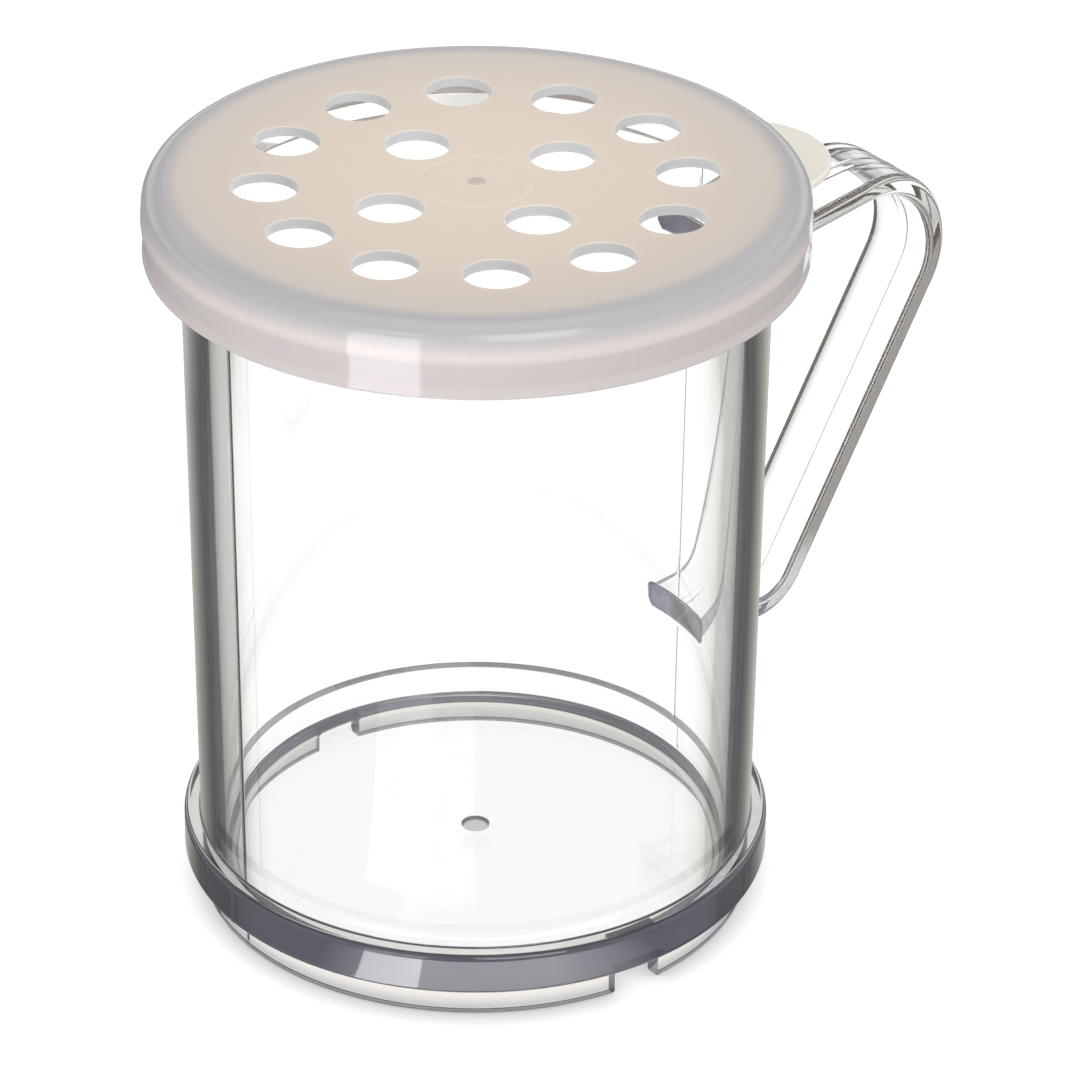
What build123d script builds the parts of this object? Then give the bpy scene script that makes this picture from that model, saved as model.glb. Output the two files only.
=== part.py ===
from build123d import *
import math
import os

# Shaker for dry spices: a clear one-shot cup with its ribbon handle, closed by a press-on lid
# with sprinkling holes.
# Frame: +Z up, origin on the cup's axis at table level, handle towards +X. Millimetres.

# ---- overall ----
TOTAL_HEIGHT = 96.1          # table to the top plane of the seated lid

# ---- cup wall, floor and foot ----
WALL_FOOT_RADIUS = 34.5      # outside of the wall, carried down to table level
WALL_DRAFT_DEG = 0.62        # the wall opens upwards so that it leaves the mould
WALL_THICKNESS = 3.0
FOOT_HEIGHT = 4.25           # table to the underside of the flange
FOOT_RING_INSET = 0.1        # outside of the foot ring, in from the wall
FOOT_RING_THICKNESS = 2.1
FOOT_EDGE_ROUND = 0.5
FLANGE_PROUD = 2.15          # edge of the flange, out from the wall's foot
FLANGE_THICKNESS = 5.45
FLANGE_EDGE_ROUND = 0.7
FLOOR_UNDERSIDE = 3.05
FLOOR_THICKNESS = 3.5
FLOOR_FILLET = 2.0
DIMPLE_RADIUS = 1.65         # gate mark in the middle of the floor
DIMPLE_DEPTH = 0.35
NOTCH_WIDTH = 6.6            # two drain notches through the foot ring, square to the handle

# ---- snap rim of the cup ----
RIM_LAND_WIDTH = 2.5         # flat top of the rim, which the lid sits on
RIM_INNER_ROUND = 0.5
LIP_PROUD = 2.38             # the lip stands out from the wall
LIP_DROP = 3.05              # rim top down to the full radius of the lip
LIP_BAND = 0.8
LIP_UNDERCUT = 1.6           # height of the slope from the lip back to the wall

# ---- handle ----
HANDLE_THICKNESS = 2.8
HANDLE_EDGE_ROUND = 0.9
GRIP_WIDTH = 11.5
ROOT_WIDTH = 16.7            # the top run widens towards the wall
TOE_WIDTH = 13.3             # and the bottom run a little
ROOT_BELOW_LID = 8.2         # bottom of the lid's skirt down to the top run's centre line at the wall
ROOT_RISE_DEG = 7.6          # the top run climbs away from the wall
TOE_ABOVE_FLANGE = 16.6      # top of the flange up to the bottom run's centre line at the wall
TOE_RISE_DEG = 3.1
TOE_REACH = 9.1              # wall to the lower corner of the centre line
GRIP_LEAN_DEG = 28.8         # the grip leans outwards at the top
UPPER_BEND = 10.2            # centre-line radii of the two bends
LOWER_BEND = 6.6
HANDLE_EMBED = 0.5           # how far the edges of both ends run into the wall
HANDLE_BLEND = 0.8           # round where the handle meets the wall

# ---- lid ----
LID_HEIGHT = 9.2             # top plane to the bottom of the skirt
LID_THICKNESS = 1.5
LID_DISH = 0.8               # the middle of the disc sits lower than its edge
SHOULDER_INSET = 2.5         # the sloping shoulder starts this far in from the lid's radius
SHOULDER_DROP = 4.65         # top plane to the crease at full radius
SHOULDER_ROUND = 3.0
CREASE_ROUND = 0.8
SKIRT_WAIST = 0.3            # the skirt draws in between the crease and its lip
WAIST_DROP = 7.6
SKIRT_LIP_ROUND = 0.4
NUB_RADIUS = 1.05            # gate nub in the middle of the disc
NUB_HEIGHT = 0.25

# ---- fits between lid and cup ----
SEAT_GAP = 0.05              # lid underside over the rim
SKIRT_GAP = 0.6              # inside of the skirt past the cup's lip
SNAP_CLEARANCE = 0.12        # crest of the snap ridge past the cup's lip
SNAP_RIDGE_DROP = 1.05       # lip underside down to the crest of the ridge
SNAP_RIDGE_HALF = 0.9        # half height of the ridge where it leaves the skirt
SNAP_RIDGE_ROUND = 0.4

# ---- sprinkling holes and lift tab ----
HOLE_DIAMETER = 8.0
OUTER_HOLES = 12
HOLE_MARGIN = 3.3            # outer holes to the bore of the rim, so that all open into the cup
INNER_HOLES = 4
HOLE_RING_STEP = 12.7        # outer ring of holes to the inner ring
TAB_RADIUS = 11.1
TAB_THICKNESS = 1.1
TAB_INSET = 0.3              # centre of the tab, in from the lid's radius
TAB_EDGE_ROUND = 0.3

MIN_ALIGNED = (Align.CENTER, Align.CENTER, Align.MIN)


def slope(degrees):
    return math.tan(math.radians(degrees))


def wall_radius(height):
    """Outside radius of the drafted wall at a height above the table."""
    return WALL_FOOT_RADIUS + height * slope(WALL_DRAFT_DEG)


def rounded(section, rounds):
    """The half section with each (radius, height) corner rounded by the size beside it."""
    for r, z, size in rounds:
        corner = section.vertices().sort_by_distance((r, 0, z))[0]
        section = fillet(corner, size)
    return section


# heights that both mouldings follow, from the lid's top plane down
LID_UNDERSIDE = TOTAL_HEIGHT - LID_THICKNESS
RIM_TOP = LID_UNDERSIDE - SEAT_GAP
LIP_BOTTOM = RIM_TOP - LIP_DROP - LIP_BAND
SKIRT_BOTTOM = TOTAL_HEIGHT - LID_HEIGHT
ROOT_HEIGHT = SKIRT_BOTTOM - ROOT_BELOW_LID

# heights of the foot, from the table up
FLOOR_TOP = FLOOR_UNDERSIDE + FLOOR_THICKNESS
FLANGE_TOP = FOOT_HEIGHT + FLANGE_THICKNESS
TOE_HEIGHT = FLANGE_TOP + TOE_ABOVE_FLANGE

# radii, from the cup's wall out to the lid
FOOT_RING_RADIUS = WALL_FOOT_RADIUS - FOOT_RING_INSET
FOOT_RING_BORE = FOOT_RING_RADIUS - FOOT_RING_THICKNESS
FLANGE_RADIUS = WALL_FOOT_RADIUS + FLANGE_PROUD
RIM_BORE = wall_radius(RIM_TOP) - WALL_THICKNESS
LIP_RADIUS = wall_radius(RIM_TOP) + LIP_PROUD
SKIRT_BORE = LIP_RADIUS + SKIRT_GAP
LID_RADIUS = SKIRT_BORE + LID_THICKNESS
OUTER_HOLE_CIRCLE = RIM_BORE - HOLE_MARGIN - HOLE_DIAMETER / 2
INNER_HOLE_CIRCLE = OUTER_HOLE_CIRCLE - HOLE_RING_STEP


# ---- cup ----
def cup_shell():
    """Wall, floor, flange, foot ring and snap rim, turned from one half section."""
    floor_bore = wall_radius(FLOOR_TOP) - WALL_THICKNESS
    lip_root = LIP_BOTTOM - LIP_UNDERCUT
    outline = Polyline(
        (0, 0, FLOOR_UNDERSIDE),
        (FOOT_RING_BORE, 0, FLOOR_UNDERSIDE),
        (FOOT_RING_BORE, 0, 0),
        (FOOT_RING_RADIUS, 0, 0),
        (FOOT_RING_RADIUS, 0, FOOT_HEIGHT),
        (FLANGE_RADIUS, 0, FOOT_HEIGHT),
        (FLANGE_RADIUS, 0, FLANGE_TOP),
        (wall_radius(FLANGE_TOP), 0, FLANGE_TOP),
        (wall_radius(lip_root), 0, lip_root),
        (LIP_RADIUS, 0, LIP_BOTTOM),
        (LIP_RADIUS, 0, LIP_BOTTOM + LIP_BAND),
        (RIM_BORE + RIM_LAND_WIDTH, 0, RIM_TOP),
        (RIM_BORE, 0, RIM_TOP),
        (floor_bore, 0, FLOOR_TOP),
        (0, 0, FLOOR_TOP),
        close=True,
    )
    section = rounded(
        make_face(outline),
        [
            (FOOT_RING_RADIUS, 0, FOOT_EDGE_ROUND),
            (FLANGE_RADIUS, FOOT_HEIGHT, FLANGE_EDGE_ROUND),
            (FLANGE_RADIUS, FLANGE_TOP, FLANGE_EDGE_ROUND),
            (RIM_BORE, RIM_TOP, RIM_INNER_ROUND),
            (floor_bore, FLOOR_TOP, FLOOR_FILLET),
        ],
    )
    gate_dimple = Pos(0, 0, FLOOR_TOP) * Cylinder(DIMPLE_RADIUS, 2 * DIMPLE_DEPTH)
    return revolve(section, Axis.Z) - gate_dimple


def drain_notches():
    """What one bar square to the handle cuts from the foot ring, up to the flange."""
    bar = Box(NOTCH_WIDTH, 2 * FLANGE_RADIUS, FOOT_HEIGHT, align=MIN_ALIGNED)
    return bar - Cylinder(FOOT_RING_BORE, FOOT_HEIGHT, align=MIN_ALIGNED)


def handle_path():
    """Centre line of the ribbon: top run, bend, leaning grip, bend and bottom run."""
    root_x = wall_radius(ROOT_HEIGHT)
    toe_x = wall_radius(TOE_HEIGHT)
    rise = slope(ROOT_RISE_DEG)
    toe_rise = slope(TOE_RISE_DEG)
    lean = slope(GRIP_LEAN_DEG)
    low_x = toe_x + TOE_REACH
    low_z = TOE_HEIGHT + TOE_REACH * toe_rise
    root_start = math.sqrt(root_x**2 - (ROOT_WIDTH / 2) ** 2) - HANDLE_EMBED
    toe_end = math.sqrt(toe_x**2 - (TOE_WIDTH / 2) ** 2) - HANDLE_EMBED
    # the top run, z = ROOT_HEIGHT + rise * (x - root_x), meets the grip, x = low_x + lean * (z - low_z)
    high_z = (ROOT_HEIGHT + rise * (low_x - lean * low_z - root_x)) / (1 - rise * lean)
    high_x = low_x + lean * (high_z - low_z)
    return FilletPolyline(
        (root_start, 0, ROOT_HEIGHT + (root_start - root_x) * rise),
        (high_x, 0, high_z),
        (low_x, 0, low_z),
        (toe_end, 0, TOE_HEIGHT + (toe_end - toe_x) * toe_rise),
        radius=[UPPER_BEND, LOWER_BEND],
    )


def handle_ribbon():
    """Round-edged ribbon carried along its centre line, wider at both ends than at the grip."""
    path = handle_path()
    top_run, upper_bend, grip, lower_bend, bottom_run = path.edges()

    def section(edge, where, width):
        plane = Plane(origin=edge @ where, x_dir=(0, 1, 0), z_dir=edge % where)
        return plane * RectangleRounded(width, HANDLE_THICKNESS, HANDLE_EDGE_ROUND)

    # the width falls evenly from the root to the crown of the upper bend
    to_crown = top_run.length + upper_bend.length / 2
    bend_width = ROOT_WIDTH + (GRIP_WIDTH - ROOT_WIDTH) * top_run.length / to_crown
    sections = [
        section(top_run, 0, ROOT_WIDTH),
        section(top_run, 0.5, (ROOT_WIDTH + bend_width) / 2),
        section(top_run, 1, bend_width),
        section(upper_bend, 0.5, GRIP_WIDTH),
        section(grip, 0, GRIP_WIDTH),
        section(grip, 0.5, GRIP_WIDTH),
        section(grip, 1, GRIP_WIDTH),
        section(lower_bend, 0.5, GRIP_WIDTH),
        section(bottom_run, 1, TOE_WIDTH),
    ]
    return sweep(sections, path, multisection=True)


def leaves_wall(edge):
    """Whether an edge is one where the handle leaves the outside of the wall."""
    middle = edge @ 0.5
    off_wall = abs(math.hypot(middle.X, middle.Y) - wall_radius(middle.Z))
    on_handle = abs(middle.Y) < ROOT_WIDTH and FLANGE_TOP < middle.Z < SKIRT_BOTTOM
    return edge.geom_type != GeomType.LINE and off_wall < 0.01 and on_handle and middle.X > 0


def cup():
    body = cup_shell() + handle_ribbon()
    body = fillet(body.edges().filter_by(leaves_wall), HANDLE_BLEND)
    return body - drain_notches()


# ---- lid ----
def lid_shell():
    """Dished disc, sloping shoulder and skirt with its snap ridge, turned from one half section."""
    shoulder_r = LID_RADIUS - SHOULDER_INSET
    # the inside of the shoulder runs parallel to its outside, one thickness away
    lean = SHOULDER_INSET / SHOULDER_DROP
    across = LID_THICKNESS * math.hypot(1, lean)
    under_r = shoulder_r - across + lean * LID_THICKNESS
    bore_top = TOTAL_HEIGHT - (SKIRT_BORE - shoulder_r + across) / lean
    ridge_r = LIP_RADIUS + SNAP_CLEARANCE
    ridge_z = LIP_BOTTOM - SNAP_RIDGE_DROP
    disc_edge = shoulder_r - SHOULDER_ROUND
    top_middle = (0, 0, TOTAL_HEIGHT - LID_DISH)
    under_middle = (0, 0, LID_UNDERSIDE - LID_DISH)
    outline = [
        TangentArc(top_middle, (disc_edge, 0, TOTAL_HEIGHT), tangent=(1, 0, 0)),
        Polyline(
            (disc_edge, 0, TOTAL_HEIGHT),
            (shoulder_r, 0, TOTAL_HEIGHT),
            (LID_RADIUS, 0, TOTAL_HEIGHT - SHOULDER_DROP),
            (LID_RADIUS - SKIRT_WAIST, 0, TOTAL_HEIGHT - WAIST_DROP),
            (LID_RADIUS, 0, SKIRT_BOTTOM),
            (SKIRT_BORE, 0, SKIRT_BOTTOM),
            (SKIRT_BORE, 0, ridge_z - SNAP_RIDGE_HALF),
            (ridge_r, 0, ridge_z),
            (SKIRT_BORE, 0, ridge_z + SNAP_RIDGE_HALF),
            (SKIRT_BORE, 0, bore_top),
            (under_r, 0, LID_UNDERSIDE),
            (RIM_BORE, 0, LID_UNDERSIDE),
        ),
        TangentArc(under_middle, (RIM_BORE, 0, LID_UNDERSIDE), tangent=(1, 0, 0)),
        Line(under_middle, top_middle),
    ]
    section = rounded(
        make_face(outline),
        [
            (shoulder_r, TOTAL_HEIGHT, SHOULDER_ROUND),
            (under_r, LID_UNDERSIDE, SHOULDER_ROUND - LID_THICKNESS),
            (LID_RADIUS, TOTAL_HEIGHT - SHOULDER_DROP, CREASE_ROUND),
            (LID_RADIUS, SKIRT_BOTTOM, SKIRT_LIP_ROUND),
            (SKIRT_BORE, SKIRT_BOTTOM, SKIRT_LIP_ROUND),
            (ridge_r, ridge_z, SNAP_RIDGE_ROUND),
        ],
    )
    return revolve(section, Axis.Z)


def sprinkling_holes():
    """Two rings of round holes, straight through the dished disc."""
    depth = 2 * (LID_THICKNESS + LID_DISH)
    hole = Pos(0, 0, LID_UNDERSIDE) * Cylinder(HOLE_DIAMETER / 2, depth)
    outer = PolarLocations(OUTER_HOLE_CIRCLE, OUTER_HOLES) * hole
    inner = PolarLocations(INNER_HOLE_CIRCLE, INNER_HOLES) * hole
    return outer + inner


def lift_tab():
    """Half-round thumb tab over the handle, level with the bottom of the skirt."""
    disc = Cylinder(TAB_RADIUS, TAB_THICKNESS, align=MIN_ALIGNED)
    disc = fillet(disc.edges().filter_by(GeomType.CIRCLE), TAB_EDGE_ROUND)
    inside = Cylinder(SKIRT_BORE + LID_THICKNESS / 3, 2 * LID_HEIGHT)
    placed = Pos(LID_RADIUS - TAB_INSET, 0, SKIRT_BOTTOM) * disc
    return placed - Pos(0, 0, SKIRT_BOTTOM) * inside


def lid():
    nub_base = TOTAL_HEIGHT - LID_DISH - LID_THICKNESS / 2
    nub = Pos(0, 0, nub_base) * Cylinder(NUB_RADIUS, LID_THICKNESS / 2 + NUB_HEIGHT, align=MIN_ALIGNED)
    return lid_shell() + lift_tab() + nub - sprinkling_holes()


os.makedirs("parts", exist_ok=True)
export_step(cup(), "parts/cup_with_handle.step")
export_step(lid(), "parts/shaker_lid.step")
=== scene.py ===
import math

import bpy
import numpy as np
from mathutils import Matrix, Vector


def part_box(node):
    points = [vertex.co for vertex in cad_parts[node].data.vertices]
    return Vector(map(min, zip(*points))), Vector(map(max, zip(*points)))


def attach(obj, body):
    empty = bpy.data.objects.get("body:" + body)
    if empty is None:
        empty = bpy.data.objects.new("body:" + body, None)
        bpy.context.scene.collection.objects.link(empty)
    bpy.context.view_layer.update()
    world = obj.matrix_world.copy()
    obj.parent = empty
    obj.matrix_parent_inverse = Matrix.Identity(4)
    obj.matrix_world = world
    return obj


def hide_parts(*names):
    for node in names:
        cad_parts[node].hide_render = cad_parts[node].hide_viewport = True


# Spice shaker: a clear cup with a ribbon handle, and its press-on lid with sprinkling holes.
# Sizes are in millimetres and angles in degrees, until Skin.mesh() writes metres.
# The cup's axis is Z, the handle points along +X, and the table is at height 0.

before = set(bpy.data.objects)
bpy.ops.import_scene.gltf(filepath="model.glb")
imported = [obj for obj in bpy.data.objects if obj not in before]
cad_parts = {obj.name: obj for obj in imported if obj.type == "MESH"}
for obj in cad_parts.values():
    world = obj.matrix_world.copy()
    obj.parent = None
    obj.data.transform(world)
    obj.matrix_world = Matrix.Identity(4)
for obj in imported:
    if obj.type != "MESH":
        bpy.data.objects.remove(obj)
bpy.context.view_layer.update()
MM = 0.001

# ---- cup: wall, floor and foot ----
TOTAL_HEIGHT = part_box("shaker_lid")[1].z / MM
WALL_FOOT_RADIUS = 34.5
WALL_DRAFT = math.tan(math.radians(0.62))
WALL_THICKNESS = 3.0
FOOT_HEIGHT = 4.25
FOOT_RING_RADIUS = 34.4
FOOT_RING_BORE = 32.3
FOOT_ROUND = 0.5
FLANGE_RADIUS = 36.65
FLANGE_TOP = 9.7
FLANGE_ROUND = 0.7
FLOOR_UNDERSIDE = 3.05
FLOOR_TOP = 6.55
FLOOR_FILLET = 2.0
NOTCH_HALF = 3.3
DIMPLE_RADIUS = 1.65
DIMPLE_DEPTH = 0.35
DIMPLE_SLOPE = 0.1           # how far its side leans each way from its radius
MOULD_ROUND = 0.3            # the small round that the mould leaves on an edge

# ---- cup: rim ----
LID_THICKNESS = 1.5
SEAT_GAP = 0.05
RIM_TOP = TOTAL_HEIGHT - LID_THICKNESS - SEAT_GAP
RIM_LAND = 2.5
RIM_ROUND = 0.5
LIP_RADIUS = 37.9
LIP_BAND = 0.8
LIP_BOTTOM = RIM_TOP - 3.85
LIP_ROOT = LIP_BOTTOM - 1.6

# ---- handle ----
RIBBON_THICKNESS = 2.8
RIBBON_ROUND = 0.9
ROOT_WIDTH, GRIP_WIDTH, TOE_WIDTH = 16.7, 11.5, 13.3
ROOT_HEIGHT, TOE_HEIGHT = 78.7, 26.3
ROOT_RISE, TOE_RISE, GRIP_LEAN = (math.tan(math.radians(a)) for a in (7.6, 3.1, 28.8))
TOE_REACH = 9.1
UPPER_BEND, LOWER_BEND = 10.2, 6.6
RIBBON_BLEND = 0.8

# ---- lid ----
LID_RADIUS = 40.0
LID_DISH = 0.8
LID_UNDERSIDE = TOTAL_HEIGHT - LID_THICKNESS
SKIRT_BOTTOM = TOTAL_HEIGHT - 9.2
SKIRT_BORE = LID_RADIUS - LID_THICKNESS
SHOULDER_INSET, SHOULDER_DROP, SHOULDER_ROUND = 0.3, 4.65, 2.7
CREASE_ROUND = 0.8
WAIST, WAIST_DROP = 0.3, 7.6
SKIRT_ROUND = 0.4
SNAP_HALF, SNAP_ROUND, SNAP_GAP = 0.9, 0.4, 0.12
SNAP_RADIUS = LIP_RADIUS + SNAP_GAP
SNAP_HEIGHT = LIP_BOTTOM - 1.05
NUB_RADIUS, NUB_HEIGHT, NUB_SLOPE = 1.05, 0.25, 0.1
MARK_RADIUS, MARK_DEPTH, MARK_WIDTH = 6.9, 0.06, 0.2   # ring that the ejector leaves round the middle
HOLE_RADIUS, HOLE_EDGE = 4.0, 0.15
OUTER_HOLES, OUTER_CIRCLE = 12, 25.22
INNER_HOLES, INNER_CIRCLE = 4, 12.52
MIDDLE_RADIUS, BETWEEN_RADIUS, MARGIN_RADIUS = 7.6, 18.9, 30.6   # rings that part the holes' cells
TAB_RADIUS, TAB_THICKNESS, TAB_ROUND = 11.1, 1.1, 0.3
TAB_CENTRE = LID_RADIUS - 0.3

# ---- parting line of the cup's mould: a fine ridge in the plane of the handle, on the outside only ----
PARTING_HEIGHT, PARTING_WIDTH = 0.07, 0.2
PARTING_STEPS = np.array([0.1, 0.25, 0.5])
OUTSIDE = 33.6

# ---- how finely the surfaces are divided ----
TOUCH = 0.01                           # millimetres or degrees within which two places are one
CUP_COLUMNS, LID_COLUMNS = 200, 240
ARC_STEP = math.radians(12)
WINDOW_COLUMNS, WINDOW_ROWS = 20, 12   # cells of the wall that a handle's end stands in
WINDOW_HALF_HEIGHT = 5.5
WINDOW_HALF_ANGLE = 360 / CUP_COLUMNS * WINDOW_COLUMNS / 2
CORNER_STEPS = 6                       # of the ribbon's rounds
PATCH_ROWS, BLEND_ROWS = 7, 8          # from the window's edge to the blend, and up the blend
LINE_POINTS, LINE_BEYOND = 24001, 8.0  # of the ribbon's centre line, which goes on into the wall
CELL_ROWS, CELL_SIDE, CELL_EASE = 9, 13, 1.3   # from a hole to its cell's border, and along its sides
EDGE_STEPS = 4                         # of a hole's rounded edge
TAB_ROWS = 5


# ======== surfaces ========
class Skin:
    """Sheets of faces gathered into one closed mesh. Each sheet brings its own normals, so creases stay
    crisp."""

    def __init__(self):
        self.points, self.normals, self.quads, self.facets, self.count = [], [], [], [], 0

    def add(self, points, normals):
        """Takes in points with their normals, and gives the number of the first."""
        start = self.count
        self.points.append(np.reshape(points, (-1, 3)))
        self.normals.append(np.reshape(normals, (-1, 3)))
        self.count += len(self.points[-1])
        return start

    def grid(self, sheet, keep=None):
        """A sheet of rows and columns of points with their normals. keep says which cells have a face."""
        points, normals = sheet
        rows, columns = points.shape[:2]
        index = np.arange(rows * columns).reshape(rows, columns) + self.add(points, normals)
        cells = np.stack([index[:-1, :-1], index[:-1, 1:], index[1:, 1:], index[1:, :-1]], axis=-1)
        self.quads.append(cells.reshape(-1, 4) if keep is None else cells[keep])

    def fan(self, centre, normal, ring):
        """Triangles from one point to each side of a ring of points."""
        start = self.add(np.vstack([[centre], ring]), np.tile(normal, (len(ring) + 1, 1)))
        rim = np.arange(1, len(ring)) + start
        self.quads.append(np.stack([np.full(len(rim), start), rim, rim + 1, rim + 1], axis=-1))

    def facet(self, edge, normal):
        """One flat face with the given edge."""
        self.facets.append(np.arange(len(edge)) + self.add(edge, np.tile(normal, (len(edge), 1))))

    def mesh(self, name):
        """Turns each face to its normals, makes points that coincide one, and cells that close up
        triangles."""
        points, normals = np.vstack(self.points), np.vstack(self.normals)
        normals /= np.linalg.norm(normals, axis=1, keepdims=True)
        quads = np.vstack(self.quads)
        corners = points[quads]
        across = np.cross(corners[:, 2] - corners[:, 0], corners[:, 3] - corners[:, 1])
        wrong = (across * normals[quads].sum(axis=1)).sum(axis=1) < 0
        quads[wrong] = quads[wrong][:, ::-1]
        _, first, same = np.unique(np.round(points, 4), axis=0, return_index=True, return_inverse=True)
        same = same.ravel()
        faces = []
        for k in range(4):
            closed = same[quads[:, k]] == same[quads[:, (k + 1) % 4]]
            faces += np.delete(quads[closed], k, axis=1).tolist()
            quads = quads[~closed]
        faces += quads.tolist()
        for facet in self.facets:
            arms = points[facet] - points[facet[0]]
            turn = np.cross(arms, np.roll(arms, -1, axis=0)).sum(axis=0)
            faces.append((facet if turn @ normals[facet[0]] > 0 else facet[::-1]).tolist())
        made = bpy.data.meshes.new(name)
        made.from_pydata(points[first] * MM, [], [same[face].tolist() for face in faces])
        made.polygons.foreach_set("use_smooth", np.ones(len(faces), bool))
        made.normals_split_custom_set(normals[np.concatenate(faces)].tolist())
        return made


def outline(*corners):
    """Pieces of a half section, each with its points and normals, from corners (r, z) or (r, z, round). A
    normal points to the right of the way along. A round is an arc that touches both sides, so its normal
    turns evenly."""
    places = np.array([corner[:2] for corner in corners], float)
    rounds = [corner[2] if len(corner) > 2 else 0 for corner in corners]
    ways = np.diff(places, axis=0)
    ways /= np.linalg.norm(ways, axis=1, keepdims=True)
    sides = np.stack([ways[:, 1], -ways[:, 0]], axis=-1)
    pieces, start = [], places[0]
    for k, side in enumerate(sides):
        size, end = rounds[k + 1], places[k + 1]
        if size:
            cross = ways[k][0] * ways[k + 1][1] - ways[k][1] * ways[k + 1][0]
            turn = math.atan2(cross, ways[k] @ ways[k + 1])
            end = end - ways[k] * size * math.tan(abs(turn) / 2)
        pieces.append((np.array([start, end]), np.array([side, side])))
        start = end
        if size:
            bulge = math.copysign(size, turn)
            steps = max(2, math.ceil(abs(turn) / ARC_STEP))
            angle = math.atan2(side[1], side[0]) + np.linspace(0, turn, steps + 1)
            normals = np.stack([np.cos(angle), np.sin(angle)], axis=-1)
            pieces.append((end + bulge * (normals - side), normals))
            start = pieces[-1][0][-1]
    return pieces


def ridge(offset):
    """Height of the parting ridge at an offset across it, a bell curve, and its slope."""
    height = PARTING_HEIGHT * np.exp(-((offset / PARTING_WIDTH) ** 2))
    return height, -2 * offset / PARTING_WIDTH**2 * height


def turned(r, z, n_r, n_z, theta, parting=False):
    """Surface of revolution: the point r, z of a section and its normal, carried round to the angle theta.
    The parting ridge is added to r on the outside, where theta is 0 and 180."""
    r, z, n_r, n_z, theta = np.broadcast_arrays(r, z, n_r, n_z, np.radians(theta))
    c, s = np.cos(theta), np.sin(theta)
    n_t = 0
    if parting:
        height, slope = ridge(r * s * np.sign(c))
        outside = np.where(r > OUTSIDE, 1.0, 0.0)
        r, n_t = r + outside * height, -outside * slope * n_r
    points = np.stack([r * c, r * s, z], axis=-1)
    return points, np.stack([n_r * c - n_t * s, n_r * s + n_t * c, n_z], axis=-1)


def angles(count, centres=()):
    """Even angles from -180 to 180, with fine steps on both sides of the parting line at each centre."""
    fine = np.degrees(PARTING_STEPS / WALL_FOOT_RADIUS)
    beside = [centre + side * fine for centre in centres for side in (-1, 1)]
    theta = np.concatenate([np.linspace(-180, 180, count + 1), *beside])
    return np.unique(np.round(theta[np.abs(theta) <= 180], 9))


def moved_columns(theta, places, wanted, moves):
    """The columns' angles for each row of a piece. In the rows that are wanted, the column at each angle in
    moves goes to its new angle, which may depend on the row's radius."""
    rows = np.tile(theta, (len(places), 1))
    for old, new in moves.items():
        rows[wanted, np.argmin(np.abs(theta - old))] = new(places[wanted, 0])
    return rows


# ======== the cup ========
def wall_radius(z):
    """Radius of the wall's outside at a height: its foot's, and what the draft adds."""
    return WALL_FOOT_RADIUS + z * WALL_DRAFT


def wall(theta, z, parting=True):
    """The outside of the wall: a cone with the parting ridge."""
    return turned(wall_radius(z), z, 1.0, -WALL_DRAFT, theta, parting)


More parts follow.
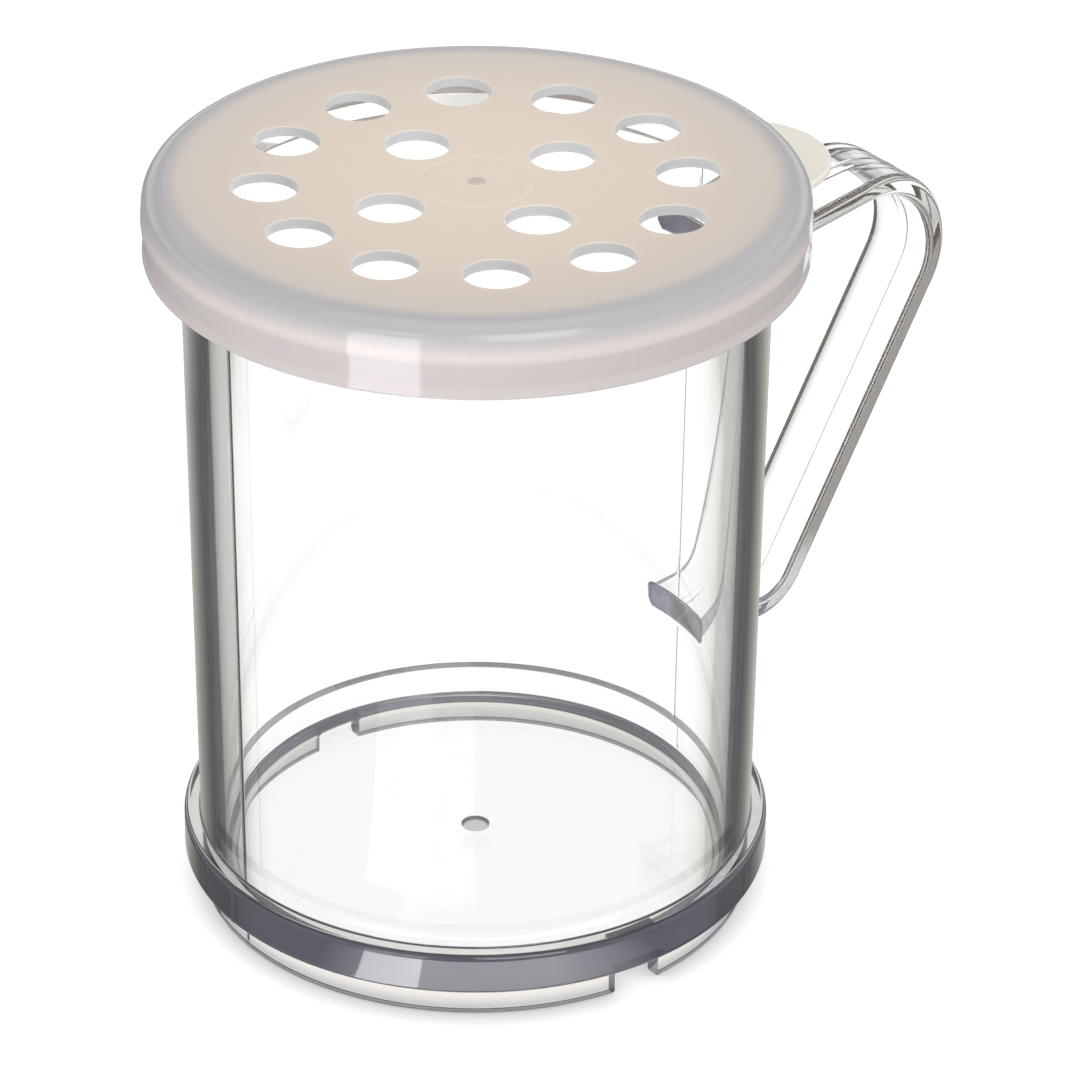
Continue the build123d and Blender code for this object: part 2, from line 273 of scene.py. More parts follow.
class Ribbon:
    """The handle. Its centre line lies in the XZ plane, straight runs joined by arcs that touch them,
    measured by the length s from wall to wall. A rounded rectangle is carried along it, square to it, with a
    width that changes."""

    def __init__(self):
        root_x, toe_x = wall_radius(ROOT_HEIGHT), wall_radius(TOE_HEIGHT)
        low_x, low_z = toe_x + TOE_REACH, TOE_HEIGHT + TOE_REACH * TOE_RISE
        high_z = ROOT_HEIGHT + ROOT_RISE * (low_x - GRIP_LEAN * low_z - root_x)
        high_z /= 1 - ROOT_RISE * GRIP_LEAN
        high_x = low_x + GRIP_LEAN * (high_z - low_z)
        ways = np.diff([[root_x, ROOT_HEIGHT], [high_x, high_z], [low_x, low_z], [toe_x, TOE_HEIGHT]], axis=0)
        spans = np.linalg.norm(ways, axis=1)
        heading = np.unwrap(np.arctan2(ways[:, 1], ways[:, 0]))
        bends = np.array([UPPER_BEND, LOWER_BEND])
        turns = np.abs(np.diff(heading))
        cuts = bends * np.tan(turns / 2)
        runs = spans - [cuts[0], cuts.sum(), cuts[1]]
        arcs = bends * turns
        self.knots = np.cumsum([0, runs[0], arcs[0], runs[1], arcs[1], runs[2]])
        # the heading turns evenly along each arc, and the line is what the heading adds up to
        self.s = np.linspace(-LINE_BEYOND, self.knots[-1] + LINE_BEYOND, LINE_POINTS)
        self.heading = np.interp(self.s, self.knots[1:-1], np.repeat(heading, 2)[1:-1])
        way = np.stack([np.cos(self.heading), np.sin(self.heading)], axis=-1)
        line = np.cumsum((way[1:] + way[:-1]) / 2 * (self.s[1] - self.s[0]), axis=0)
        self.x, self.z = np.vstack([[0, 0], line]).T
        self.x += root_x - np.interp(0, self.s, self.x)
        self.z += ROOT_HEIGHT - np.interp(0, self.s, self.z)
        self.bend = np.gradient(self.heading, self.s)
        self.section()

    def section(self):
        """Round the section, from the middle of its upper right corner: the share of the half width and the
        fixed offset that give a point's place across, its place through the thickness, and the angle of its
        normal."""
        corner = RIBBON_THICKNESS / 2 - RIBBON_ROUND
        wide = np.linspace(1, -1, WINDOW_COLUMNS + 1 - CORNER_STEPS)[1:-1]
        middle = len(wide) // 2
        fine = np.concatenate([PARTING_STEPS[::-1], [0], -PARTING_STEPS])
        share = np.concatenate([wide[:middle], 0 * fine, wide[middle + 1:]])
        offset = np.concatenate([0 * wide[:middle], fine, 0 * wide[middle + 1:]])
        tall = np.linspace(1, -1, WINDOW_ROWS + 1 - CORNER_STEPS)[1:-1]
        rows = []
        for quarter, (a, b) in enumerate([(1, 1), (-1, 1), (-1, -1), (1, -1)]):
            turn = np.radians(90 * quarter + np.linspace(0, 90, CORNER_STEPS + 1))
            rounded = RIBBON_ROUND * np.cos(turn), b * corner + RIBBON_ROUND * np.sin(turn)
            rows += [(a, o, t, angle) for o, t, angle in zip(*rounded, turn)]
            if quarter % 2 == 0:
                rows += [(a * w, a * o, b * RIBBON_THICKNESS / 2, turn[-1]) for w, o in zip(share, offset)]
            else:
                rows += [(a, a * RIBBON_ROUND, b * t * corner, turn[-1]) for t in tall]
        rows = np.roll(rows, -CORNER_STEPS // 2, axis=0)
        self.share, self.offset, self.through, self.facing = np.vstack([rows, rows[:1]]).T

    def width(self, s):
        """Falls evenly from the root to the crown of the upper bend, and grows again from the lower bend to
        the toe."""
        k = self.knots
        stops = [0, (k[1] + k[2]) / 2, (k[3] + k[4]) / 2, k[5]]
        ease = np.linspace(-3, 3, 7)
        widths = [ROOT_WIDTH, GRIP_WIDTH, GRIP_WIDTH, TOE_WIDTH]
        return sum(np.interp(s + e, stops, widths) for e in ease) / len(ease)

    def at(self, s, parting=1):
        """Points and normals for an array of lengths s whose last axis goes round the section. A point lies
        so far across the centre line, along Y, and so far through the ribbon. A normal is the section's, less
        what it has along the tangent, so it stays square to the surface where the width changes."""
        x, z, heading, bend = (np.interp(s, self.s, v) for v in (self.x, self.z, self.heading, self.bend))
        across = self.share * (self.width(s) / 2 - RIBBON_ROUND) + self.offset
        spread = self.share * (self.width(s + 0.5) - self.width(s - 0.5)) / 2
        broad = parting * (np.abs(np.cos(self.facing)) < 1e-6)
        height, slope = ridge(across)
        through = self.through + broad * np.sign(self.through) * height
        side = np.array([0.0, 1.0, 0.0])
        way = np.stack([np.cos(heading), 0 * x, np.sin(heading)], axis=-1)
        rise = np.stack([-np.sin(heading), 0 * x, np.cos(heading)], axis=-1)
        points = np.stack([x, 0 * x, z], axis=-1)
        points = points + across[..., None] * side + through[..., None] * rise
        tangent = (1 - bend * through)[..., None] * way + spread[..., None] * side
        normals = (np.cos(self.facing) - broad * slope)[..., None] * side
        normals = normals + np.sin(self.facing)[:, None] * rise
        normals -= along(normals, tangent) / along(tangent, tangent) * tangent
        return points, unit(normals)


def unit(vectors):
    """Vectors made one long."""
    return vectors / np.linalg.norm(vectors, axis=-1, keepdims=True)


def along(a, b):
    """How far one vector reaches along another that is one long."""
    return (a * b).sum(axis=-1, keepdims=True)


def handle_end(ribbon, start, way, theta, z):
    """The sheets that join one end of the ribbon to its window in the wall, and the length s where the ribbon
    itself begins. way is 1 at the root and -1 at the toe. The blend is a conic that leaves both surfaces
    along them."""
    # where each line along the ribbon meets the wall, by halving
    low, high = np.full(len(ribbon.share), -6.0), np.full(len(ribbon.share), 6.0)
    for _ in range(40):
        middle = (low + high) / 2
        points, _ = ribbon.at(start + way * middle)
        outside = np.hypot(points[:, 0], points[:, 1]) > wall_radius(points[:, 2])
        low, high = np.where(outside, low, middle), np.where(outside, middle, high)
    meets = (low + high) / 2
    corner, of_ribbon = ribbon.at(start + way * meets, parting=0)
    _, of_wall = wall(np.degrees(np.arctan2(corner[:, 1], corner[:, 0])), corner[:, 2], parting=False)
    foot = corner + RIBBON_BLEND * unit(of_ribbon - along(of_ribbon, of_wall) * of_wall)
    foot_theta, foot_z = np.degrees(np.arctan2(foot[:, 1], foot[:, 0])), foot[:, 2]
    foot, _ = wall(foot_theta, foot_z)
    _, of_foot = wall(foot_theta, foot_z, parting=False)
    begins = start + way * (meets + RIBBON_BLEND)
    head, _ = ribbon.at(begins)
    _, of_head = ribbon.at(begins, parting=0)
    half_turn = np.arccos(along(of_foot, of_head)) / 2
    t = np.linspace(0, 1, BLEND_ROWS)[:, None, None]
    weights = (1 - t) ** 2, 2 * t * (1 - t) * np.cos(half_turn), t**2
    blend = (weights[0] * foot + weights[1] * corner + weights[2] * head) / sum(weights)
    centre = foot + RIBBON_BLEND / np.tan(half_turn) * of_foot
    # round the window from its upper right corner, in step with the section
    if way < 0:
        z = z[::-1]
    edge_theta = np.concatenate([
        theta[::-1][:-1], np.full(len(z) - 1, theta[0]), theta[:-1], np.full(len(z), theta[-1]),
    ])
    edge_z = np.concatenate([np.full(len(theta) - 1, z[-1]), z[::-1][:-1], np.full(len(theta) - 1, z[0]), z])
    t = np.linspace(0, 1, PATCH_ROWS)[:, None]
    patch = wall(edge_theta + t * (foot_theta - edge_theta), edge_z + t * (foot_z - edge_z))
    return patch, (blend, unit(centre - blend)), begins


def cup_mesh():
    """Wall, floor, flange, foot ring with its two notches and rim, turned, with the handle blended in."""
    skin = Skin()
    theta = angles(CUP_COLUMNS, (-180, 0, 180))
    step = 360 / CUP_COLUMNS
    notch = step * round(math.degrees(math.asin(NOTCH_HALF / FOOT_RING_BORE)) / step)
    moves = {
        side * (90 + end * notch):
            lambda r, side=side, end=end: side * (90 + end * np.degrees(np.arcsin(NOTCH_HALF / r)))
        for side in (-1, 1) for end in (-1, 1)
    }
    in_notch = np.abs(np.abs((theta[1:] + theta[:-1]) / 2) - 90) < notch

    def sheet(piece):
        """A piece of the half section turned about the axis, with columns moved to the notches' sides."""
        places, normals = piece
        in_ring = (places[:, 0] < FOOT_RING_RADIUS + TOUCH) & (places[:, 0] > FOOT_RING_BORE - TOUCH)
        rows = moved_columns(theta, places, in_ring & (places[:, 1] < FOOT_HEIGHT + TOUCH), moves)
        return turned(places[:, :1], places[:, 1:], normals[:, :1], normals[:, 1:], rows, parting=True)

    # foot ring and notches
    ring = outline(
        (FOOT_RING_BORE, FLOOR_UNDERSIDE), (FOOT_RING_BORE, 0, MOULD_ROUND),
        (FOOT_RING_RADIUS, 0, FOOT_ROUND), (FOOT_RING_RADIUS, FOOT_HEIGHT),
    )
    over_notch = outline(
        (FOOT_RING_BORE, FLOOR_UNDERSIDE), (FOOT_RING_BORE, FOOT_HEIGHT), (FOOT_RING_RADIUS, FOOT_HEIGHT),
    )
    underside = sheet(ring[0])[0][0]
    skin.fan((0, 0, FLOOR_UNDERSIDE), (0, 0, -1), underside)
    for piece in ring:
        points, normals = sheet(piece)
        skin.grid((points, normals), np.tile(~in_notch, (len(points) - 1, 1)))
    for piece in over_notch:
        points, normals = sheet(piece)
        skin.grid((points, normals), np.tile(in_notch, (len(points) - 1, 1)))
    for column in (np.argmin(np.abs(theta - angle)) for angle in moves):
        edge = np.vstack([sheet(piece)[0][k > 0:, column] for k, piece in enumerate(ring)])
        edge = np.vstack([edge, sheet(over_notch[0])[0][-1:, column]])
        skin.facet(edge, (-np.sign(edge[0, 0]), 0, 0))

    # all above the foot ring, up the outside, over the rim and down the inside to the middle of the floor
    rim_bore = wall_radius(RIM_TOP) - WALL_THICKNESS
    floor_bore = wall_radius(FLOOR_TOP) - WALL_THICKNESS
    pieces = outline(
        (FOOT_RING_RADIUS, FOOT_HEIGHT),
        (FLANGE_RADIUS, FOOT_HEIGHT, FLANGE_ROUND),
        (FLANGE_RADIUS, FLANGE_TOP, FLANGE_ROUND),
        (wall_radius(FLANGE_TOP), FLANGE_TOP, MOULD_ROUND),
        (wall_radius(LIP_ROOT), LIP_ROOT, MOULD_ROUND),
        (LIP_RADIUS, LIP_BOTTOM, MOULD_ROUND),
        (LIP_RADIUS, LIP_BOTTOM + LIP_BAND, MOULD_ROUND),
        (rim_bore + RIM_LAND, RIM_TOP, MOULD_ROUND),
        (rim_bore, RIM_TOP, RIM_ROUND),
        (floor_bore, FLOOR_TOP, FLOOR_FILLET),
        (DIMPLE_RADIUS + DIMPLE_SLOPE, FLOOR_TOP, MOULD_ROUND),
        (DIMPLE_RADIUS - DIMPLE_SLOPE, FLOOR_TOP - DIMPLE_DEPTH, MOULD_ROUND),
        (0, FLOOR_TOP - DIMPLE_DEPTH),
    )
    span = [np.ptp(places[:, 1]) * (normals[0, 0] > 0) for places, normals in pieces]
    outer_wall = int(np.argmax(span))
    for piece in pieces[:outer_wall] + pieces[outer_wall + 1:-1]:
        skin.grid(sheet(piece))
    middle = pieces[-1][0]
    dimple = sheet((middle[:1], pieces[-1][1][:1]))[0][0]
    skin.fan((0, 0, middle[-1, 1]), (0, 0, 1), dimple)

    # the wall, with a window for each end of the handle
    low, high = pieces[outer_wall][0][:, 1]
    steps = np.linspace(-WINDOW_HALF_HEIGHT, WINDOW_HALF_HEIGHT, WINDOW_ROWS + 1)
    halfway = (TOE_HEIGHT + ROOT_HEIGHT) / 2
    z = np.concatenate([[low], TOE_HEIGHT + steps, [halfway], ROOT_HEIGHT + steps, [high]])
    height, angle = (z[1:] + z[:-1]) / 2, (theta[1:] + theta[:-1]) / 2
    beside = np.minimum(np.abs(height - TOE_HEIGHT), np.abs(height - ROOT_HEIGHT)) < WINDOW_HALF_HEIGHT
    skin.grid(wall(theta, z[:, None]), ~(beside[:, None] & (np.abs(angle) < WINDOW_HALF_ANGLE)))
    ribbon = Ribbon()
    k = ribbon.knots
    window = theta[np.abs(theta) < WINDOW_HALF_ANGLE + TOUCH]
    patch, blend, root = handle_end(ribbon, 0, 1, window, ROOT_HEIGHT + steps)
    skin.grid(patch)
    skin.grid(blend)
    patch, blend, toe = handle_end(ribbon, k[-1], -1, window, TOE_HEIGHT + steps)
    skin.grid(patch)
    skin.grid(blend)
    # the ribbon between its two blends, with finer rows in the bends
    between = np.concatenate([
        np.linspace(2, k[1], 6)[:-1], np.linspace(k[1], k[2], 40)[:-1], np.linspace(k[2], k[3], 10)[:-1],
        np.linspace(k[3], k[4], 24)[:-1], np.linspace(k[4], k[5] - 2, 4),
    ])
    skin.grid(ribbon.at(np.vstack([root, np.tile(between[:, None], len(root)), toe])))
    return skin.mesh("clear_cup")


# ======== the lid ========
def dish(depth, radius):
    """Rise above its middle of a dish that is depth deep at radius: an arc that starts out level."""
    bow = (radius**2 + depth**2) / (2 * depth)
    return lambda r: bow - np.sqrt(bow**2 - np.minimum(r, radius) ** 2)


def lid_mesh():
    """Disc, shoulder and skirt, turned, with round holes through the disc and a thumb tab on the skirt."""
    skin = Skin()
    theta = angles(LID_COLUMNS)
    shoulder_r = LID_RADIUS - SHOULDER_INSET
    disc_edge = shoulder_r - SHOULDER_ROUND
    rim_bore = wall_radius(RIM_TOP) - WALL_THICKNESS
    top_dish, under_dish = dish(LID_DISH, disc_edge), dish(LID_DISH, rim_bore)

    def top(r):
        """Height of the disc's top: the dish, a nub with an S-shaped side in the middle, and the ejector's
        ring, a shallow groove with the section of a bell."""
        nub = NUB_HEIGHT * (1 - np.tanh((r - NUB_RADIUS) / NUB_SLOPE)) / 2
        mark = MARK_DEPTH * np.exp(-(((r - MARK_RADIUS) / MARK_WIDTH) ** 2))
        return TOTAL_HEIGHT - LID_DISH + top_dish(r) + nub - mark

    def under(r):
        """Height of the disc's underside, a dish too."""
        return LID_UNDERSIDE - LID_DISH + under_dish(r)

    def face(height, r, angle):
        """A face z = height(r) of the disc, with its normal from the slope."""
        slope = (height(r + 0.01) - height(np.abs(r - 0.01))) / 0.02
        up = 1 if height is top else -1
        return turned(r, height(r), -up * slope, up, angle)

    def holes(count, circle, inner, outer):
        """A cell of the disc round each hole: rings that pass from the hole's edge to the cell's border,
        evenly in radius and angle. The wall of the hole joins the two faces, with its edges rounded."""
        half = 180 / count
        across = np.linspace(-half, half, LID_COLUMNS // count + 1)
        up = np.linspace(inner, outer, CELL_SIDE)
        short = len(across) - 1
        r = np.concatenate([np.full(short, outer), up[::-1][:-1], np.full(short, inner), up])
        a = np.concatenate([
            across[:-1], np.full(len(up) - 1, half), across[::-1][:-1], np.full(len(up), -half),
        ])
        way = np.arctan2(np.radians(a) * circle, r - circle)
        edge_x = circle + (HOLE_RADIUS + HOLE_EDGE) * np.cos(way)
        edge_y = (HOLE_RADIUS + HOLE_EDGE) * np.sin(way)
        edge_r, edge_a = np.hypot(edge_x, edge_y), np.degrees(np.arctan2(edge_y, edge_x))
        t = np.linspace(0, 1, CELL_ROWS)[:, None] ** CELL_EASE
        turn = np.radians(np.linspace(0, 90, EDGE_STEPS + 1))[:, None]
        for hole in range(count):
            middle = 360 / count * hole
            for height in (top, under):
                skin.grid(face(height, edge_r + t * (r - edge_r), middle + edge_a + t * (a - edge_a)))
            inwards = HOLE_EDGE * (1 - np.sin(turn))
            down = HOLE_EDGE * (1 - np.cos(turn))
            radius = HOLE_RADIUS + np.vstack([inwards, inwards[::-1]]) + 0 * way
            z = np.vstack([top(edge_r) - down, under(edge_r) + down[::-1]])
            n_z = np.vstack([np.cos(turn), -np.cos(turn)[::-1]]) + 0 * way
            n_r = -np.vstack([np.sin(turn), np.sin(turn)[::-1]])
            c, s = np.cos(way + math.radians(middle)), np.sin(way + math.radians(middle))
            x_0, y_0 = circle * math.cos(math.radians(middle)), circle * math.sin(math.radians(middle))
            skin.grid((np.stack([x_0 + radius * c, y_0 + radius * s, z], axis=-1),
                       np.stack([n_r * c, n_r * s, n_z], axis=-1)))

    # the disc: its middle, the two rings of holes and its margin, on both faces
    fine = np.concatenate([
        np.linspace(0.25, NUB_RADIUS - 0.2, 4), np.linspace(NUB_RADIUS - 0.15, NUB_RADIUS + 0.15, 7),
        np.linspace(NUB_RADIUS + 0.3, MARK_RADIUS - 0.4, 10),
        np.linspace(MARK_RADIUS - 0.3, MARK_RADIUS + 0.3, 9), [MIDDLE_RADIUS],
    ])
    for height, rows in ((top, fine), (under, np.linspace(0.5, MIDDLE_RADIUS, 4))):
        points, normals = face(height, rows[:, None], theta)
        skin.grid((points, normals))
        skin.fan((0, 0, height(np.array(0.0))), normals[0, 0] * (0, 0, 1), points[0])
    holes(INNER_HOLES, INNER_CIRCLE, MIDDLE_RADIUS, BETWEEN_RADIUS)
    holes(OUTER_HOLES, OUTER_CIRCLE, BETWEEN_RADIUS, MARGIN_RADIUS)
    skin.grid(face(top, np.linspace(MARGIN_RADIUS, disc_edge, 4)[:, None], theta))
    skin.grid(face(under, np.linspace(MARGIN_RADIUS, rim_bore, 3)[:, None], theta))

    # shoulder and skirt, from the underside round the bottom of the skirt to the top
    lean = SHOULDER_INSET / SHOULDER_DROP
    across = LID_THICKNESS * math.hypot(1, lean)
    tab_top = SKIRT_BOTTOM + TAB_THICKNESS
    tab_seat = LID_RADIUS - WAIST * TAB_THICKNESS / (TOTAL_HEIGHT - WAIST_DROP - SKIRT_BOTTOM)
    pieces = outline(
        (rim_bore, LID_UNDERSIDE),
        (shoulder_r - across + lean * LID_THICKNESS, LID_UNDERSIDE, SHOULDER_ROUND - LID_THICKNESS),
        (SKIRT_BORE, TOTAL_HEIGHT - (SKIRT_BORE - shoulder_r + across) / lean),
        (SKIRT_BORE, SNAP_HEIGHT + SNAP_HALF),
        (SNAP_RADIUS, SNAP_HEIGHT, SNAP_ROUND),
        (SKIRT_BORE, SNAP_HEIGHT - SNAP_HALF),
        (SKIRT_BORE, SKIRT_BOTTOM, SKIRT_ROUND),
        (LID_RADIUS, SKIRT_BOTTOM, SKIRT_ROUND),
        (tab_seat, tab_top),
        (LID_RADIUS - WAIST, TOTAL_HEIGHT - WAIST_DROP),
        (LID_RADIUS, TOTAL_HEIGHT - SHOULDER_DROP, CREASE_ROUND),
        (shoulder_r, TOTAL_HEIGHT, SHOULDER_ROUND),
        (disc_edge, TOTAL_HEIGHT),
    )
    # the tab's circle leaves the skirt at this angle, and the nearest column moves to it
    cosine = (LID_RADIUS**2 + TAB_CENTRE**2 - TAB_RADIUS**2) / (2 * LID_RADIUS * TAB_CENTRE)
    tab_angle = math.degrees(math.acos(cosine))
    step = 360 / LID_COLUMNS
    nearest = step * round(tab_angle / step)
    moves = {side * nearest: lambda r, side=side: side * tab_angle for side in (-1, 1)}
    in_tab = np.abs(theta[1:] + theta[:-1]) / 2 < nearest
    strip = []
    for places, normals in pieces:
        wanted = (places[:, 0] > (SKIRT_BORE + LID_RADIUS) / 2) & (places[:, 1] < tab_top + TOUCH)
        rows = moved_columns(theta, places, wanted, moves)
        points, normals = turned(places[:, :1], places[:, 1:], normals[:, :1], normals[:, 1:], rows)
        if wanted.all():
            strip.append(points)
        keep = np.tile(~in_tab, (len(points) - 1, 1)) if wanted.all() else None
        skin.grid((points, normals), keep)
    strip = np.vstack([strip[0], strip[1][1:]])
    window = np.flatnonzero(np.abs(theta) < nearest + TOUCH)
    strip = strip[:, window]

    # the tab: its lower and upper face between the skirt and a circle, and its rounded edge
    end = math.atan2(LID_RADIUS * math.sin(math.radians(tab_angle)), LID_RADIUS * cosine - TAB_CENTRE)
    way = np.linspace(-end, end, len(window))
    lower = len(strip) // 2
    facing = np.concatenate([np.linspace(-90, 0, lower), np.linspace(0, 90, len(strip) - lower)])
    facing = np.radians(facing)[:, None]
    n_r, n_z = np.cos(facing) + 0 * way, np.sin(facing) + 0 * way
    radius = TAB_RADIUS - TAB_ROUND * (1 - n_r)
    upper = np.arange(len(strip))[:, None] >= lower
    z = SKIRT_BOTTOM + TAB_ROUND * (1 + n_z) + upper * (TAB_THICKNESS - 2 * TAB_ROUND)
    edge = np.stack([TAB_CENTRE + radius * np.cos(way), radius * np.sin(way), z], axis=-1)
    edge[:, [0, -1]], n_r[:, [0, -1]], n_z[:, [0, -1]] = strip[:, [0, -1]], 1, 0
    skin.grid((edge, np.stack([n_r * np.cos(way), n_r * np.sin(way), n_z], axis=-1)))
    t = np.linspace(0, 1, TAB_ROWS)[:, None, None]
    for row, up in ((0, -1), (-1, 1)):
        points = strip[row] + t * (edge[row] - strip[row])
        skin.grid((points, np.zeros_like(points) + (0, 0, up)))
    return skin.mesh("perforated_lid")


# ======== materials ========
class Value:
    """A socket that gives a number. An expression on values adds Math nodes."""

    def __init__(self, paint, socket):
        self.paint, self.socket = paint, socket

    def other(self, output):
        """Another socket of the same node."""
        return Value(self.paint, self.socket.node.outputs[output])

    def maths(self, operation, *others):
        """A Math node that works on this value and the others."""
        inputs = dict(enumerate((self, *others)))
        return self.paint.node("Math", {"operation": operation}, inputs)

    def size(self):
        """The value without its sign."""
        return self.maths("ABSOLUTE")

    def __add__(self, other):
        return self.maths("ADD", other)

    __radd__ = __add__

    def __mul__(self, other):
        return self.maths("MULTIPLY", other)

    __rmul__ = __mul__

    def __sub__(self, other):
        return self.maths("SUBTRACT", other)

    def __rsub__(self, other):
        return self * -1 + other


class Paint:
    """The node tree of one material, or of the world."""

    def __init__(self, owner):
        owner.use_nodes = True
        self.tree = owner.node_tree
        self.tree.nodes.clear()

    def node(self, kind, settings=None, inputs=None, output=0):
        """A node of a type, with its settings first and then the values or links of its sockets."""
        made = self.tree.nodes.new("ShaderNode" + kind)
        for name, value in (settings or {}).items():
            if name == "stops":
                ramp = made.color_ramp
                while len(ramp.elements) < len(value):
                    ramp.elements.new(0.5)
                for element, (position, tone) in zip(ramp.elements, value):
                    element.position, element.color = position, (*tone[:3], 1)
            else:
                setattr(made, name, value)
        for name, value in (inputs or {}).items():
            socket = made.inputs[name]
            if isinstance(value, Value):
                self.tree.links.new(value.socket, socket)
            else:
                socket.default_value = value
        return Value(self, made.outputs[output]) if made.outputs else None

    def step(self, value, low, high):
        """0 up to low and 1 from high on, with low above high for a step down."""
        return self.node("MapRange", {"clamp": True}, {"Value": value, "From Min": low, "From Max": high})

    def mix_colours(self, share, first, second):
        """The first colour where share is 0 and the second where it is 1."""
        return self.node("Mix", {"data_type": "RGBA"}, {0: share, 6: first, 7: second}, 2)

    def brighter(self, tone, level):
        """A colour times a value."""
        return self.node("VectorMath", {"operation": "SCALE"}, {0: tone, "Scale": level})

    def tones(self, stops, value):
        """A colour that goes through the stops as the value goes from 0 to 1."""
        return self.node("ValToRGB", {"stops": stops}, {"Fac": value})

    def parts(self, vector):
        """X, Y and Z of a vector."""
        return tuple(self.node("SeparateXYZ", {}, {0: vector}, k) for k in range(3))

    def place(self):
        """X, Y and Z of the point and its distance from the axis, in millimetres."""
        x, y, z = (part * (1 / MM) for part in self.parts(self.node("TexCoord", output="Object")))
        return x, y, z, (x * x + y * y).maths("SQRT")

    def noise(self, scale, detail):
        """Cloudy noise from 0 to 1, with so many clouds to a metre along X, Y and Z."""
        where = self.node("Mapping", {}, {"Vector": self.node("TexCoord", output="Object"), "Scale": scale})
        return self.node("TexNoise", {}, {"Scale": 1.0, "Detail": detail, "Vector": where})

    def sector(self, x, y, start, end, fade=0.6):
        """1 from so many degrees left of the view to so many, seen from the axis, and 0 beyond the fades."""
        left = y.maths("ARCTAN2", x) * -math.degrees(1) + VIEW_AZIMUTH
        return self.step(left, start - fade, start) * self.step(left, end + fade, end)

    def surface(self, shader):
        """Makes a shader the last of the tree."""
        output = "OutputWorld" if isinstance(self.tree.id_data, bpy.types.World) else "OutputMaterial"
        self.node(output, {}, {"Surface": shader})


def colour(red, green, blue):
    """A colour as it looks on screen, from 0 to 255, as the linear one that a shader takes."""
    levels = np.array([red, green, blue]) / 255
    linear = np.where(levels <= 0.04045, levels / 12.92, ((levels + 0.055) / 1.055) ** 2.4)
    return (*linear.tolist(), 1)


# ---- clear plastic: where each tone and painted shade fades in, in millimetres, and what it is ----
REFRACTION = 1.586
CLEAR = 0.995, 0.997, 0.99, 1
UPRIGHT, SIDEWAYS = (0.35, 0.25), (0.05, 0.20)   # how much of a normal points up, or across the handle
RIPPLE, TURNING = 0.05, (0.70, 0.74)   # shares of the turn from facing the eye to edge on
TRAPPED, PAINTED_SHADE_SHARE = (0.3, 0.9), 0.8        # the share mirrored inside the plastic, and how much of it is painted shade
LESS_PAINTED_SHADE = 0.65                       # so much less painted shade on the broad sides of the handle
OUTER_SKIN = WALL_FOOT_RADIUS - 1.5, WALL_FOOT_RADIUS - 1.0
WITHIN_LIP = LIP_RADIUS + 0.6, LIP_RADIUS - 0.4
BELOW_LID = SKIRT_BOTTOM - 0.3, SKIRT_BOTTOM - 0.9
NEAR_LID = SKIRT_BOTTOM - 16.9, SKIRT_BOTTOM - 0.9
IN_FOOT = FOOT_HEIGHT + 0.15, FOOT_HEIGHT - 0.15
RING_SKIN = FOOT_RING_BORE - 0.3, FOOT_RING_BORE - 0.1
# painted shade on the foot ring: grey at its bottom, cream above
RING_RISE, RING_SHADE_GREY, RING_SHADE_CREAM = (0.4, 2.4), (0.52, 0.53, 0.55, 1), (0.88, 0.84, 0.78, 1)
LEDGE_FROM, LEDGE_TO = (FLANGE_TOP - 0.2, FLANGE_TOP - 0.1), (FLANGE_TOP + 0.3, FLANGE_TOP + 0.2)
LEDGE_SKIN, LEDGE_SHADE_GREY = (WALL_FOOT_RADIUS + 0.1, WALL_FOOT_RADIUS + 0.3), (0.42, 0.41, 0.39, 1)
FLOOR_FROM, FLOOR_TO = (FLOOR_TOP - 0.35, FLOOR_TOP - 0.15), (FLOOR_TOP + 0.45, FLOOR_TOP + 0.25)
FLOOR_EDGE, FLOOR_EDGE_SHADE = (30.5, 30.0), (0.84, 0.845, 0.82, 1)
DIMPLE_EDGE = DIMPLE_RADIUS + 0.15, DIMPLE_RADIUS - 0.05
DIMPLE_FROM, DIMPLE_GREY = (FLOOR_TOP - 0.55, FLOOR_TOP - 0.45), (0.42, 0.42, 0.40, 1)
GRIP_OUT, GRIP_UP, GRIP_END = (39, 40), (30, 34), (77, 68)
GRIP_MARGIN, GRIP_EDGE_SHADE = (GRIP_WIDTH / 2 - 1.05, GRIP_WIDTH / 2 + 0.05), (0.22, 0.20, 0.18, 1)
STREAK, POLISHED, DIMPLE_FROST = (0.35, 0.70), 0.01, 0.4
# painted shade tones: dark for the wall, lighter lilac for the flange's streaks
IN_FLANGE, WALL_SHADE_TONE, FLANGE_SHADE_TONE = (10.0, 9.5), (0.13, 0.12, 0.16, 1), (0.34, 0.34, 0.42, 1)
HANDLE_OUT, ABOVE_FLANGE, BY_WALL = (34.5, 36.0), (10, 11), (46, 42)
# painted shade tones on the handle: brown on the ribbon's sides, lilac at its toe
RIBBON_SHADE_BROWN, TOE_SHADE_LILAC = (0.17, 0.145, 0.12, 1), (0.34, 0.33, 0.45, 1)
# painted shade: how dark the wall is made as it turns from facing the eye to edge on, darkest between and
# lighter again at the edge, for the dark surroundings that it bends into view
WALL_SHADE_TINTS = [
    (0.00, CLEAR),
    (0.45, CLEAR),
    (0.50, (0.80, 0.82, 0.78)),
    (0.53, (0.60, 0.62, 0.58)),
    (0.55, (0.34, 0.35, 0.31)),
    (0.67, (0.22, 0.23, 0.20)),
    (0.70, (0.05, 0.05, 0.055)),
    (0.74, (0.03, 0.03, 0.04)),
    (0.77, (0.10, 0.10, 0.10)),
    (0.84, (0.60, 0.57, 0.52)),
    (0.90, (0.90, 0.87, 0.80)),
    (1.00, (0.95, 0.93, 0.87)),
]
